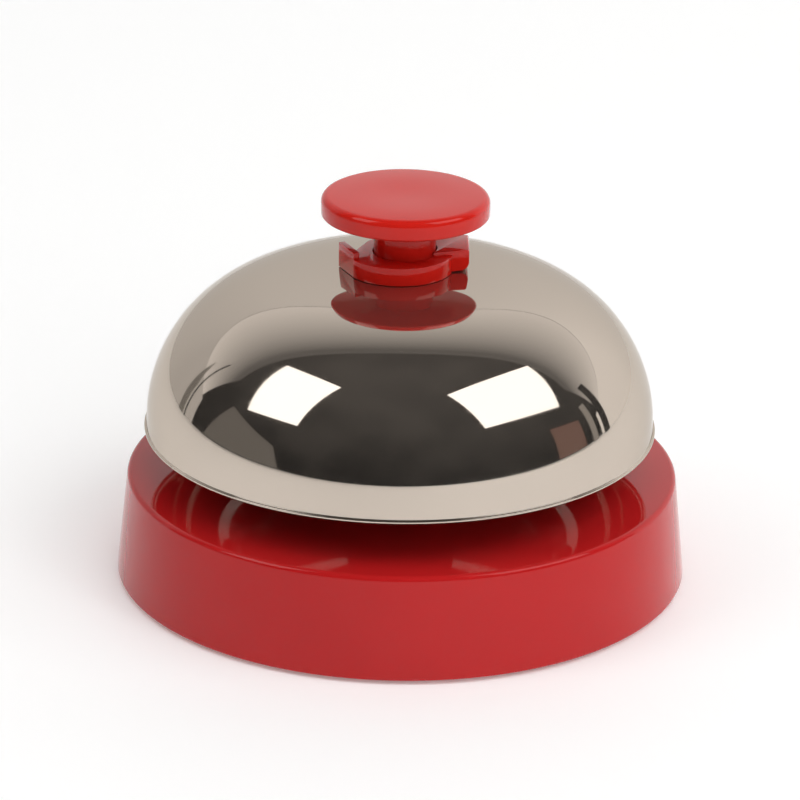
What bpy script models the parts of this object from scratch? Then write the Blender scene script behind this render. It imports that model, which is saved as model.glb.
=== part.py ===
"""Counter service bell: a pressed steel dome on a moulded drum base, rung by a push button on top.

Metres, +Z up. The origin is the centre of the circle that the rubber feet stand on, and the front
faces -Y. Pressing the button drives a steel rod down through the centre post. The rod tips a rocking
lever behind the post, and the lever throws a steel slug up against the inside of the dome.
"""

import math

import bmesh
import bpy
from mathutils import Matrix, Vector

MM = 0.001

# Drum base and its bottom cover.
BASE_DIAMETER = 65.0 * MM  # at the rim, the widest point of the bell
BASE_DRAFT = 1.3 * MM  # how far the side leans in between rim and top
BASE_TOP_Z = 12.2 * MM
BASE_WALL = 1.6 * MM
BASE_DECK = 1.6 * MM  # thickness of the flat top
BASE_EDGE_RADIUS = 0.6 * MM
RIM_LIFT = 0.4 * MM  # the rim clears the table by this much
COVER_RECESS = 0.8 * MM  # the cover sits this far up inside the rim
COVER_THICKNESS = 1.5 * MM
COVER_BOSS_HEIGHT = 2.4 * MM
COVER_BOSS_RADIUS = 4.2 * MM
BASE_BOSS_RADIUS = 2.8 * MM
COVER_SCREW_CIRCLE = 23.0 * MM
FOOT_CIRCLE = 24.5 * MM
FOOT_RADIUS = 4.0 * MM
FOOT_COUNT = 3

# Dome.
DOME_RIM_GAP = 5.25 * MM  # open slot between the drum's top and the rim
DOME_HEIGHT = 18.8 * MM
DOME_RIM_RADIUS = 29.0 * MM
DOME_WALL_RADIUS = 28.7 * MM
DOME_WALL_HEIGHT = 1.85 * MM
DOME_SHEET = 0.5 * MM
DOME_SIDE_POWER = 3.43  # how square the shoulder is across
DOME_CROWN_POWER = 1.77  # how square the shoulder is upwards
WASHER_THICKNESS = 0.8 * MM
WASHER_WIDTH = 1.25 * MM

# Lock collar on top of the dome.
COLLAR_COVER = 0.9 * MM  # how far the disc reaches past the dome's hole
COLLAR_THICKNESS = 1.95 * MM
COLLAR_EDGE_RADIUS = 0.35 * MM
WING_OVERHANG = 1.15 * MM  # the thick wing's outer end, past the disc
WING_BACK = 4.4 * MM
WING_FRONT_INNER = -1.6 * MM
WING_FRONT_OUTER = -0.5 * MM
WING_PROUD = 0.45 * MM  # how far the thick wing stands above the disc
WING_EDGE_RADIUS = 0.9 * MM
DISC_SHIFT = 0.65 * MM  # the disc's middle, to the left of its bore
DISC_BACK_COVER = 0.7 * MM  # how far the disc's cut-back rear reaches past the sleeve
DISC_SIDE_Y = -1.1 * MM  # where the straight cut on the ear's side ends
EAR_OVERHANG = 1.35 * MM  # the thin ear's outer end, past the disc's radius
EAR_TIP_Y = 0.4 * MM
EAR_TURN = 213.2  # where round the disc the ear leaves it, in degrees
EAR_INSET = 0.08 * MM
EAR_THICKNESS = 0.7 * MM
EAR_HEIGHT = 0.78 * MM
SLEEVE_LENGTH = 3.6 * MM
SLEEVE_WALL = 0.85 * MM
LUG_PROUD = 0.5 * MM
LUG_HEIGHT = 1.0 * MM
LUG_WIDTH = 2.0 * MM

# Push button, rod, clip and spring.
BUTTON_LIFT = 4.35 * MM  # clear height between the collar and the button
BUTTON_THICKNESS = 2.35 * MM
BUTTON_RADIUS = 9.45 * MM
BUTTON_EDGE_RADIUS = 0.8 * MM
BUTTON_LOWER_RADIUS = 0.25 * MM
BUTTON_TRAVEL = 3.4 * MM
HUB_RADIUS = 3.5 * MM
HUB_LENGTH = 9.45 * MM
ROD_RADIUS = 1.1 * MM
ROD_SEAT_DEPTH = 6.0 * MM
CLIP_RADIUS = 2.0 * MM
CLIP_THICKNESS = 0.5 * MM
CLIP_GROOVE_DEPTH = 0.3 * MM
CLIP_MOUTH = 1.3 * MM
SPRING_MEAN_RADIUS = 2.45 * MM
SPRING_WIRE_RADIUS = 0.25 * MM
SPRING_TURNS = 8
SPRING_POINTS_PER_TURN = 12

# Centre post.
POST_WALL = 1.25 * MM  # outside the lugs' groove
POST_FLANGE_WIDTH = 4.0 * MM
POST_FLANGE_THICKNESS = 1.6 * MM
POST_EDGE_RADIUS = 0.4 * MM
GUIDE_WEB_THICKNESS = 1.6 * MM
SPRING_CHAMBER_RADIUS = 3.1 * MM
YOKE_SLOT_WIDTH = 4.6 * MM
YOKE_CHEEK = 2.0 * MM
YOKE_NOSE = 2.6 * MM  # material around the pivot
POST_SCREW_X = 4.4 * MM
POST_SCREW_Y = -1.8 * MM
POST_SCREW_GRIP = 5.0 * MM

# Striker.
PIVOT_Y = 5.0 * MM
TAIL_DECK_GAP = 0.84 * MM  # under the lever's tail with the button fully down
TAIL_CLIP_GAP = 1.14 * MM  # over the lever's tail at rest
PIN_RADIUS = 0.8 * MM
PIN_HEAD_RADIUS = 1.4 * MM
PIN_HEAD_THICKNESS = 0.5 * MM
LEVER_WIDTH = 3.0 * MM
LEVER_THICKNESS = 1.2 * MM
LEVER_HUB_RADIUS = 1.9 * MM
TAIL_OVERREACH = 1.4 * MM  # tail beyond the rod's axis
ARM_EYE_RADIUS = 1.9 * MM
ARM_EYE_PROUD = 0.15 * MM  # the eye is this much thicker than the strip on each side
ARM_REST_ANGLE = math.radians(-3.5)  # the arm slopes down a little at rest
SLUG_RADIUS = 2.6 * MM
SLUG_CENTRE_LIFT = 1.7 * MM
SHANK_RADIUS = 1.1 * MM
RIVET_RADIUS = 1.6 * MM
RIVET_HEIGHT = 0.6 * MM
STRIKE_GAP = 0.45 * MM  # the slug crosses the last of the way by its own swing

# Screws.
SCREW_SHANK_RADIUS = 1.1 * MM
SCREW_HEAD_RADIUS = 2.1 * MM
SCREW_HEAD_HEIGHT = 1.1 * MM
SCREW_RECESS_DEPTH = 0.6 * MM
SCREW_RECESS_WIDTH = 0.5 * MM
SCREW_RECESS_LENGTH = 2.2 * MM
COVER_SCREW_GRIP = 4.0 * MM

# Clearances.
SEAT_GAP = 0.3 * MM  # between two pieces that rest on each other, out of sight
CLOSE_GAP = 0.1 * MM  # the same where the joint line shows
RUNNING_GAP = 0.15 * MM  # around a piece that slides or turns
PIN_GAP = 0.1 * MM
LUG_PASS_GAP = 0.05 * MM  # around the lugs as they pass through the dome's hole
SCREW_GAP = 0.15 * MM

# Facets around turned pieces.
WIDE_STEPS = 64
MIDDLE_STEPS = 36
SMALL_STEPS = 18
ARC_POINTS = 3
DOME_POINTS = 15
SWING_STEPS = 8

# Heights and radii that follow from the sizes above.
BASE_RADIUS = BASE_DIAMETER / 2
SCREW_HOLE_RADIUS = SCREW_SHANK_RADIUS + SCREW_GAP
DECK_UNDER_Z = BASE_TOP_Z - BASE_DECK
COVER_Z = RIM_LIFT + COVER_RECESS
DOME_RIM_Z = BASE_TOP_Z + DOME_RIM_GAP
DOME_SHOULDER_Z = DOME_RIM_Z + DOME_WALL_HEIGHT
DOME_TOP_Z = DOME_RIM_Z + DOME_HEIGHT
COLLAR_Z = DOME_TOP_Z + CLOSE_GAP
COLLAR_TOP_Z = COLLAR_Z + COLLAR_THICKNESS
BUTTON_Z = COLLAR_TOP_Z + BUTTON_LIFT
BUTTON_TOP_Z = BUTTON_Z + BUTTON_THICKNESS
HUB_FOOT_Z = BUTTON_Z - HUB_LENGTH
HUB_STOP_Z = HUB_FOOT_Z - BUTTON_TRAVEL - CLOSE_GAP
SLEEVE_RADIUS = HUB_RADIUS + RUNNING_GAP + SLEEVE_WALL
SLEEVE_FOOT_Z = COLLAR_Z - SLEEVE_LENGTH
LUG_RADIUS = SLEEVE_RADIUS + LUG_PROUD
LUG_CORNER_RADIUS = math.hypot(LUG_RADIUS, LUG_WIDTH / 2)
GROOVE_RADIUS = LUG_CORNER_RADIUS + RUNNING_GAP
DOME_HOLE_RADIUS = LUG_CORNER_RADIUS + LUG_PASS_GAP
COLLAR_RADIUS = DOME_HOLE_RADIUS + COLLAR_COVER
WING_REACH = COLLAR_RADIUS + WING_OVERHANG
EAR_REACH = COLLAR_RADIUS + EAR_OVERHANG
WASHER_RADIUS = DOME_HOLE_RADIUS + WASHER_WIDTH
WASHER_TOP_Z = DOME_TOP_Z - DOME_SHEET - SEAT_GAP
WASHER_Z = WASHER_TOP_Z - WASHER_THICKNESS
POST_RADIUS = GROOVE_RADIUS + POST_WALL
POST_FLANGE_RADIUS = POST_RADIUS + POST_FLANGE_WIDTH
POST_TOP_Z = WASHER_Z - CLOSE_GAP
POST_Z = BASE_TOP_Z + CLOSE_GAP
FLANGE_TOP_Z = POST_Z + POST_FLANGE_THICKNESS

# The lever rocks by the same angle above and below level, so the rod's travel and the lever's turn
# keep nearly one ratio. Its tail sets how high the pivot, the clip and the post's web must be.
SWING_ANGLE = 2 * math.atan(BUTTON_TRAVEL / (2 * PIVOT_Y))
TAIL_REST_ANGLE = SWING_ANGLE / 2
TAIL_LENGTH = PIVOT_Y + TAIL_OVERREACH
TAIL_SWEEP = TAIL_LENGTH * math.sin(TAIL_REST_ANGLE) + LEVER_THICKNESS / 2
PIVOT_Z = BASE_TOP_Z + TAIL_DECK_GAP + TAIL_SWEEP
CLIP_TOP_Z = PIVOT_Z + TAIL_SWEEP + TAIL_CLIP_GAP + CLIP_THICKNESS
WEB_Z = CLIP_TOP_Z + CLOSE_GAP
CHAMBER_FLOOR_Z = WEB_Z + GUIDE_WEB_THICKNESS

COLOURS = {
    "red_plastic": ((0.50, 0.012, 0.012, 1.0), 0.18, 0.0),
    "red_inner_plastic": ((0.42, 0.012, 0.012, 1.0), 0.35, 0.0),
    "nickel_steel": ((0.72, 0.68, 0.62, 1.0), 0.06, 1.0),
    "zinc_steel": ((0.60, 0.60, 0.62, 1.0), 0.30, 1.0),
    "spring_steel": ((0.45, 0.44, 0.43, 1.0), 0.28, 1.0),
    "black_rubber": ((0.02, 0.02, 0.02, 1.0), 0.85, 0.0),
    "clear_vinyl": ((0.80, 0.79, 0.74, 1.0), 0.45, 0.0),
}


def clear_scene():
    for obj in list(bpy.data.objects):
        bpy.data.objects.remove(obj)


def new_collection(name):
    collection = bpy.data.collections.new(name)
    bpy.context.scene.collection.children.link(collection)
    return collection


def surface(name):
    """The named finish as a Principled material."""
    found = bpy.data.materials.get(name)
    if found:
        return found
    colour, roughness, metallic = COLOURS[name]
    material = bpy.data.materials.new(name)
    material.use_nodes = True
    shader = material.node_tree.nodes["Principled BSDF"]
    shader.inputs["Base Color"].default_value = colour
    shader.inputs["Roughness"].default_value = roughness
    shader.inputs["Metallic"].default_value = metallic
    return material


def add_object(name, data, finish, collection):
    obj = bpy.data.objects.new(name, data)
    if finish:
        data.materials.append(surface(finish))
    collection.objects.link(obj)
    return obj


def round_off(mesh):
    mesh.shade_smooth()
    mesh.set_sharp_from_angle(angle=math.radians(35))


def arc(centre_x, centre_z, radius, start, end, points=ARC_POINTS):
    """Points on a circle from the start angle to the end angle, in degrees, both ends included."""
    found = []
    for i in range(points + 1):
        angle = math.radians(start + (end - start) * i / points)
        found.append((centre_x + radius * math.cos(angle), centre_z + radius * math.sin(angle)))
    return found


def turned(name, outline, steps, finish=None, collection=None):
    """A solid turned about Z from (radius, height) points that run down its outer side.

    An outline that starts and ends on the axis is left open there, and any other is closed up.
    """
    mesh = bpy.data.meshes.new(name)
    verts = [(radius, 0.0, height) for radius, height in outline]
    edges = [(i, i + 1) for i in range(len(verts) - 1)]
    if outline[0][0] > 0 or outline[-1][0] > 0:
        edges.append((len(verts) - 1, 0))
    mesh.from_pydata(verts, edges, [])
    obj = add_object(name, mesh, finish, collection or CUTTERS)
    screw = obj.modifiers.new("turn", "SCREW")
    screw.axis = "Z"
    screw.steps = steps
    screw.render_steps = steps
    screw.use_merge_vertices = True
    screw.merge_threshold = 0.000001
    return obj


def as_mesh(obj):
    """The object with its modifiers applied, as one welded mesh."""
    graph = bpy.context.evaluated_depsgraph_get()
    graph.update()
    mesh = bpy.data.meshes.new_from_object(obj.evaluated_get(graph))
    body = bmesh.new()
    body.from_mesh(mesh)
    bmesh.ops.remove_doubles(body, verts=body.verts, dist=0.000001)
    bmesh.ops.recalc_face_normals(body, faces=body.faces)
    body.to_mesh(mesh)
    body.free()
    name, place, homes = obj.name, obj.matrix_world.copy(), list(obj.users_collection)
    bpy.data.objects.remove(obj)
    made = bpy.data.objects.new(name, mesh)
    made.matrix_world = place
    for home in homes:
        home.objects.link(made)
    round_off(mesh)
    return made


def box(name, low, high):
    """A block between two corners."""
    mesh = bpy.data.meshes.new(name)
    body = bmesh.new()
    bmesh.ops.create_cube(body, size=1.0)
    size = Vector(high) - Vector(low)
    middle = (Vector(high) + Vector(low)) / 2
    place = Matrix.Translation(middle) @ Matrix.Diagonal((*size, 1.0))
    bmesh.ops.transform(body, matrix=place, verts=body.verts)
    body.to_mesh(mesh)
    body.free()
    return add_object(name, mesh, None, CUTTERS)


def rod(name, radius, start, end, steps=SMALL_STEPS):
    """A plain round bar between two points."""
    start, end = Vector(start), Vector(end)
    mesh = bpy.data.meshes.new(name)
    body = bmesh.new()
    length = (end - start).length
    bmesh.ops.create_cone(
        body, cap_ends=True, segments=steps, radius1=radius, radius2=radius, depth=length
    )
    turn = (end - start).to_track_quat("Z", "Y").to_matrix().to_4x4()
    bmesh.ops.transform(body, matrix=Matrix.Translation((start + end) / 2) @ turn, verts=body.verts)
    body.to_mesh(mesh)
    body.free()
    return add_object(name, mesh, None, CUTTERS)


def plate(name, outline, holes, low, high):
    """A flat plate from closed (x, y) outlines, between two heights."""
    curve = bpy.data.curves.new(name, "CURVE")
    curve.dimensions = "2D"
    curve.fill_mode = "BOTH"
    curve.extrude = (high - low) / 2
    for loop in [outline, *holes]:
        spline = curve.splines.new("POLY")
        spline.points.add(len(loop) - 1)
        for point, (x, y) in zip(spline.points, loop):
            point.co = (x, y, 0.0, 1.0)
        spline.use_cyclic_u = True
    obj = add_object(name, curve, None, CUTTERS)
    obj.location.z = (low + high) / 2
    bpy.context.view_layer.update()
    return as_mesh(obj)


def boolean(target, other, operation):
    modifier = target.modifiers.new(other.name, "BOOLEAN")
    modifier.operation = operation
    modifier.object = other
    other.hide_render = True
    other.display_type = "WIRE"


def cut(target, *cutters):
    for cutter in cutters:
        boolean(target, cutter, "DIFFERENCE")


def join(target, *pieces):
    for piece in pieces:
        boolean(target, piece, "UNION")


def around(radius, count, start_degrees):
    """Evenly spaced (x, y) points on a circle."""
    found = []
    for i in range(count):
        angle = math.radians(start_degrees) + 2 * math.pi * i / count
        found.append((radius * math.cos(angle), radius * math.sin(angle)))
    return found


def base_side_radius(z):
    """The drum's outer radius at a height: it narrows evenly from rim to top."""
    share = (z - RIM_LIFT) / (BASE_TOP_Z - RIM_LIFT)
    return BASE_RADIUS - BASE_DRAFT * share


def dome_radius_at(share):
    """Outer radius and height of the dome's curve, for a share from 0 at the shoulder to 1 at the top."""
    angle = share * math.pi / 2
    across = math.cos(angle) ** (2 / DOME_SIDE_POWER)
    up = math.sin(angle) ** (2 / DOME_CROWN_POWER)
    return DOME_WALL_RADIUS * across, DOME_SHOULDER_Z + (DOME_TOP_Z - DOME_SHOULDER_Z) * up


def dome_profile(points):
    """The dome's outside from the rim of its hole down to its open rim."""
    found = []
    for i in range(points + 1):
        radius, height = dome_radius_at(1 - i / points)
        if radius > DOME_HOLE_RADIUS + DOME_SHEET:
            found.append((radius, height))
    found.append((DOME_RIM_RADIUS, DOME_RIM_Z))
    first_height = found[0][1]
    return [(DOME_HOLE_RADIUS, first_height), *found]


def offset_inwards(profile, distance):
    """The same line moved towards the dome's inside, square to itself. Its ends stay level."""
    found = []
    for i, (radius, height) in enumerate(profile):
        before = profile[max(i - 1, 0)]
        after = profile[min(i + 1, len(profile) - 1)]
        along = Vector((after[0] - before[0], after[1] - before[1])).normalized()
        found.append((radius + along.y * distance, height - along.x * distance))
    found[0] = (profile[0][0], profile[0][1] - distance)
    found[-1] = (found[-1][0], profile[-1][1])
    return found


def slug_clearance(reach):
    """The slug's least distance from the dome's inside over the whole swing, for an arm of this reach."""
    inside = [Vector(point) for point in offset_inwards(dome_profile(160), DOME_SHEET)]
    least = DOME_RIM_RADIUS
    for i in range(SWING_STEPS + 1):
        angle = ARM_REST_ANGLE + SWING_ANGLE * i / SWING_STEPS
        along = Vector((math.cos(angle), math.sin(angle)))
        upward = Vector((-along.y, along.x))
        centre = Vector((PIVOT_Y, PIVOT_Z)) + along * reach + upward * SLUG_CENTRE_LIFT
        least = min(least, min((point - centre).length for point in inside) - SLUG_RADIUS)
    return least


def arm_reach():
    """The longest pivot-to-slug length whose swing leaves STRIKE_GAP to the dome, found by halving."""
    short, long = 5.0 * MM, DOME_RIM_RADIUS - PIVOT_Y
    for _ in range(40):
        middle = (short + long) / 2
        if slug_clearance(middle) > STRIKE_GAP:
            short = middle
        else:
            long = middle
    return short


def screw(name, x, y, head_z, grip, finish):
    """A pan-head screw that points up from its head, with a crossed recess in the head's underside."""
    outline = [
        (0.0, head_z + SCREW_HEAD_HEIGHT + grip),
        (SCREW_SHANK_RADIUS * 0.6, head_z + SCREW_HEAD_HEIGHT + grip),
        (SCREW_SHANK_RADIUS, head_z + SCREW_HEAD_HEIGHT + grip - SCREW_SHANK_RADIUS * 0.8),
        (SCREW_SHANK_RADIUS, head_z + SCREW_HEAD_HEIGHT),
        (SCREW_HEAD_RADIUS, head_z + SCREW_HEAD_HEIGHT),
        *arc(SCREW_HEAD_RADIUS - 0.35 * MM, head_z + 0.35 * MM, 0.35 * MM, 0, -90, 2),
        (0.0, head_z),
    ]
    made = turned(name, outline, SMALL_STEPS, finish, PARTS)
    made.location = (x, y, 0.0)
    half_long, half_wide = SCREW_RECESS_LENGTH / 2, SCREW_RECESS_WIDTH / 2
    for i, (half_x, half_y) in enumerate(((half_long, half_wide), (half_wide, half_long))):
        low = (x - half_x, y - half_y, head_z - SCREW_RECESS_DEPTH)
        high = (x + half_x, y + half_y, head_z + SCREW_RECESS_DEPTH)
        cut(made, box(f"{name}_recess_{i}", low, high))
    return made


def make_base_shell():
    """The red drum: open underneath, with bosses for the cover screws and holes for the post screws."""
    top_radius = base_side_radius(BASE_TOP_Z)
    edge = BASE_EDGE_RADIUS
    outline = [
        (0.0, BASE_TOP_Z),
        *reversed(arc(top_radius - edge, BASE_TOP_Z - edge, edge, 0, 90)),
        (BASE_RADIUS, RIM_LIFT),
        (BASE_RADIUS - BASE_WALL, RIM_LIFT),
        (base_side_radius(DECK_UNDER_Z) - BASE_WALL, DECK_UNDER_Z),
        (0.0, DECK_UNDER_Z),
    ]
    shell = turned("base_shell", outline, WIDE_STEPS, "red_plastic", PARTS)
    boss_foot = COVER_Z + COVER_BOSS_HEIGHT + SEAT_GAP
    for i, (x, y) in enumerate(around(COVER_SCREW_CIRCLE, FOOT_COUNT, -90)):
        boss_root = (x, y, DECK_UNDER_Z + BASE_DECK / 2)
        join(shell, rod(f"base_boss_{i}", BASE_BOSS_RADIUS, (x, y, boss_foot), boss_root))
        hole_top = boss_foot + COVER_SCREW_GRIP
        hole_foot = (x, y, boss_foot - MM)
        cut(shell, rod(f"base_boss_hole_{i}", SCREW_HOLE_RADIUS, hole_foot, (x, y, hole_top)))
    for i, side in enumerate((-1, 1)):
        x = side * POST_SCREW_X
        foot, top = (x, POST_SCREW_Y, DECK_UNDER_Z - MM), (x, POST_SCREW_Y, BASE_TOP_Z + MM)
        cut(shell, rod(f"deck_hole_{i}", SCREW_HOLE_RADIUS, foot, top))
    return shell


def make_base_cover():
    """The flat bottom, let into the rim, with a raised boss around each counterbored screw hole."""
    radius = BASE_RADIUS - BASE_WALL - BASE_DRAFT * COVER_THICKNESS / BASE_TOP_Z - 2 * RUNNING_GAP
    top = COVER_Z + COVER_THICKNESS
    cover = turned(
        "base_cover",
        [(0.0, top), (radius, top), (radius, COVER_Z), (0.0, COVER_Z)],
        WIDE_STEPS,
        "red_inner_plastic",
        PARTS,
    )
    boss_top = COVER_Z + COVER_BOSS_HEIGHT
    for i, (x, y) in enumerate(around(COVER_SCREW_CIRCLE, FOOT_COUNT, -90)):
        boss_root = (x, y, COVER_Z + COVER_THICKNESS / 2)
        join(cover, rod(f"cover_boss_{i}", COVER_BOSS_RADIUS, boss_root, (x, y, boss_top)))
        head_top = COVER_Z + SEAT_GAP + SCREW_HEAD_HEIGHT + CLOSE_GAP
        head_room = SCREW_HEAD_RADIUS + SEAT_GAP
        cut(cover, rod(f"cover_counterbore_{i}", head_room, (x, y, COVER_Z - MM), (x, y, head_top)))
        cut(cover, rod(f"cover_hole_{i}", SCREW_HOLE_RADIUS, (x, y, COVER_Z), (x, y, boss_top + MM)))
    return cover


def make_cover_screws():
    grip = COVER_BOSS_HEIGHT - SCREW_HEAD_HEIGHT - SEAT_GAP + COVER_SCREW_GRIP - SCREW_GAP
    for i, (x, y) in enumerate(around(COVER_SCREW_CIRCLE, FOOT_COUNT, -90), 1):
        screw(f"cover_screw_{i}", x, y, COVER_Z + SEAT_GAP, grip, "zinc_steel")


def make_feet():
    """Three round rubber pads stuck to the cover between its screws. The bell stands on them."""
    top = COVER_Z - CLOSE_GAP
    bevel = 0.2 * MM
    for i, (x, y) in enumerate(around(FOOT_CIRCLE, FOOT_COUNT, -30), 1):
        outline = [
            (0.0, top),
            (FOOT_RADIUS, top),
            (FOOT_RADIUS, bevel),
            (FOOT_RADIUS - bevel, 0.0),
            (0.0, 0.0),
        ]
        foot = turned(f"foot_pad_{i}", outline, MIDDLE_STEPS, "black_rubber", PARTS)
        foot.location = (x, y, 0.0)


def make_centre_post():
    """The post carries the dome, guides the button and its rod, and ends below in the lever's yoke."""
    edge = POST_EDGE_RADIUS
    outer = [
        (0.0, POST_TOP_Z),
        *reversed(arc(POST_RADIUS - edge, POST_TOP_Z - edge, edge, 0, 90)),
        (POST_RADIUS, FLANGE_TOP_Z),
        (POST_FLANGE_RADIUS, FLANGE_TOP_Z),
        (POST_FLANGE_RADIUS, POST_Z),
        (0.0, POST_Z),
    ]
    post = turned("centre_post", outer, MIDDLE_STEPS, "red_inner_plastic", PARTS)
    half_slot = YOKE_SLOT_WIDTH / 2
    cheek_out = half_slot + YOKE_CHEEK
    nose_end = PIVOT_Y + YOKE_NOSE
    for i, side in enumerate((-1, 1)):
        near, far = sorted((side * half_slot, side * cheek_out))
        root_z = POST_Z + POST_FLANGE_THICKNESS / 2
        cheek = box(f"yoke_cheek_{i}", (near, 0.0, root_z), (far, PIVOT_Y, PIVOT_Z + YOKE_NOSE))
        nose = box(f"yoke_nose_{i}", (near, PIVOT_Y - MM, root_z), (far, nose_end, PIVOT_Z))
        inner, outer_end = (near, PIVOT_Y, PIVOT_Z), (far, PIVOT_Y, PIVOT_Z)
        knuckle = rod(f"yoke_knuckle_{i}", YOKE_NOSE, inner, outer_end, MIDDLE_STEPS)
        join(post, cheek, nose, knuckle)
    slot_end = (half_slot, POST_FLANGE_RADIUS, WEB_Z)
    slot = box("yoke_slot", (-half_slot, -POST_FLANGE_RADIUS, FLANGE_TOP_Z), slot_end)
    tail_room = TAIL_OVERREACH + 2 * LEVER_THICKNESS
    hub_room = PIVOT_Y + LEVER_HUB_RADIUS + 2 * SEAT_GAP
    window_end = (half_slot, hub_room, FLANGE_TOP_Z + MM)
    window = box("flange_window", (-half_slot, -tail_room, POST_Z - MM), window_end)
    past = 2 * cheek_out
    pin_hole = rod(
        "yoke_pin_hole", PIN_RADIUS + PIN_GAP, (-past, PIVOT_Y, PIVOT_Z), (past, PIVOT_Y, PIVOT_Z)
    )
    cut(post, slot, window, pin_hole)
    room = PIN_HEAD_RADIUS + 2 * SEAT_GAP
    for i, side in enumerate((-1, 1)):
        near, far = sorted((side * cheek_out, side * 2 * cheek_out))
        low = (near, PIVOT_Y - room, FLANGE_TOP_Z + CLOSE_GAP)
        cut(post, box(f"pin_end_room_{i}", low, (far, PIVOT_Y + 2 * YOKE_NOSE, PIVOT_Z + room)))
    over = POST_TOP_Z + MM
    sleeve_bore = SLEEVE_RADIUS + RUNNING_GAP
    groove_top = SLEEVE_FOOT_Z + LUG_HEIGHT + RUNNING_GAP
    bore = turned(
        "post_bore",
        [
            (0.0, over),
            (sleeve_bore, over),
            (sleeve_bore, groove_top),
            (GROOVE_RADIUS, groove_top),
            (GROOVE_RADIUS, SLEEVE_FOOT_Z - RUNNING_GAP),
            (HUB_RADIUS + RUNNING_GAP, SLEEVE_FOOT_Z - RUNNING_GAP),
            (HUB_RADIUS + RUNNING_GAP, HUB_STOP_Z),
            (SPRING_CHAMBER_RADIUS, HUB_STOP_Z),
            (SPRING_CHAMBER_RADIUS, CHAMBER_FLOOR_Z),
            (ROD_RADIUS + RUNNING_GAP, CHAMBER_FLOOR_Z),
            (ROD_RADIUS + RUNNING_GAP, WEB_Z - MM),
            (0.0, WEB_Z - MM),
        ],
        MIDDLE_STEPS,
    )
    half_lug = LUG_WIDTH / 2 + RUNNING_GAP
    entry_low = (-half_lug, -GROOVE_RADIUS, groove_top - LUG_HEIGHT / 2)
    entry = box("lug_entry", entry_low, (half_lug, GROOVE_RADIUS, over))
    cut(post, bore, entry)
    for i, side in enumerate((-1, 1)):
        x = side * POST_SCREW_X
        foot, top = (x, POST_SCREW_Y, POST_Z - MM), (x, POST_SCREW_Y, POST_Z + POST_SCREW_GRIP)
        cut(post, rod(f"post_screw_hole_{i}", SCREW_HOLE_RADIUS, foot, top))
    return post


def make_post_screws():
    """Two screws come up through the deck from inside the drum and hold the post down."""
    head_z = DECK_UNDER_Z - CLOSE_GAP - SCREW_HEAD_HEIGHT
    grip = CLOSE_GAP + BASE_DECK + CLOSE_GAP + POST_SCREW_GRIP - SEAT_GAP
    for i, side in enumerate((-1, 1), 1):
        screw(f"post_screw_{i}", side * POST_SCREW_X, POST_SCREW_Y, head_z, grip, "zinc_steel")


def make_washer():
    """A soft ring that lets the dome sing on its post."""
    bore = DOME_HOLE_RADIUS
    outline = [
        (bore, WASHER_TOP_Z),
        (WASHER_RADIUS, WASHER_TOP_Z),
        (WASHER_RADIUS, WASHER_Z),
        (bore, WASHER_Z),
    ]
    return turned("dome_washer", outline, MIDDLE_STEPS, "clear_vinyl", PARTS)


def make_dome():
    """The pressed and polished bell: one thin sheet, turned, with the hole for the collar in its crown."""
    outside = dome_profile(DOME_POINTS)
    inside = offset_inwards(outside, DOME_SHEET)
    return turned("bell_dome", [*outside, *reversed(inside)], WIDE_STEPS, "nickel_steel", PARTS)


def wing_outline():
    """Front view of the thick wing: its lower outer corner is rounded, clear of the dome's slope."""
    edge = WING_EDGE_RADIUS
    low = COLLAR_Z + CLOSE_GAP
    high = COLLAR_TOP_Z + WING_PROUD
    return [
        (HUB_RADIUS, high),
        (HUB_RADIUS, low),
        *arc(WING_REACH - edge, low + edge, edge, -90, 0),
        *arc(WING_REACH - 0.3 * MM, high - 0.3 * MM, 0.3 * MM, 0, 90, 2),
    ]


def disc_point(radius, degrees):
    """A point of the plan at this radius from the disc's own middle."""
    turn = math.radians(degrees)
    return Vector((radius * math.cos(turn) - DISC_SHIFT, radius * math.sin(turn)))


def ear_outline():
    """Plan of the thin ear, which leaves the disc's side in line with it and runs out to the back."""
    foot = disc_point(COLLAR_RADIUS - EAR_INSET, EAR_TURN)
    tip = Vector((-EAR_REACH, EAR_TIP_Y))
    along = (tip - foot).normalized()
    inward = Vector((along.y, -along.x)) * EAR_THICKNESS
    return [tuple(point) for point in (foot, foot + inward, tip + inward, tip)]


def disc_back_outline():
    """Plan of what is cut from the disc: its rear, and a straight piece behind the ear."""
    far = 2 * COLLAR_RADIUS
    rear = arc(0.0, 0.0, SLEEVE_RADIUS + DISC_BACK_COVER, 42, 143, 12)
    side = (-(COLLAR_RADIUS - 0.1 * MM), DISC_SIDE_Y)
    foot = tuple(disc_point(COLLAR_RADIUS, EAR_TURN))
    return [*rear, side, foot, (-far, foot[1]), (-far, far), (far, far), (far, rear[0][1])]


def upright_plate(name, outline, front, back):
    """A plate cut to an (x, z) outline, standing between two depths."""
    made = plate(name, [(x, -z) for x, z in outline], [], front, back)
    made.data.transform(Matrix.Rotation(-math.pi / 2, 4, "X") @ Matrix.Translation(made.location))
    made.location = (0.0, 0.0, 0.0)
    return made


def sheared(obj, slope, from_x):
    """Skews a shape towards the back in step with its distance along X."""
    skew = Matrix.Identity(4)
    skew[1][0] = slope
    skew[1][3] = -slope * from_x
    obj.data.transform(skew)
    return obj


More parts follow.
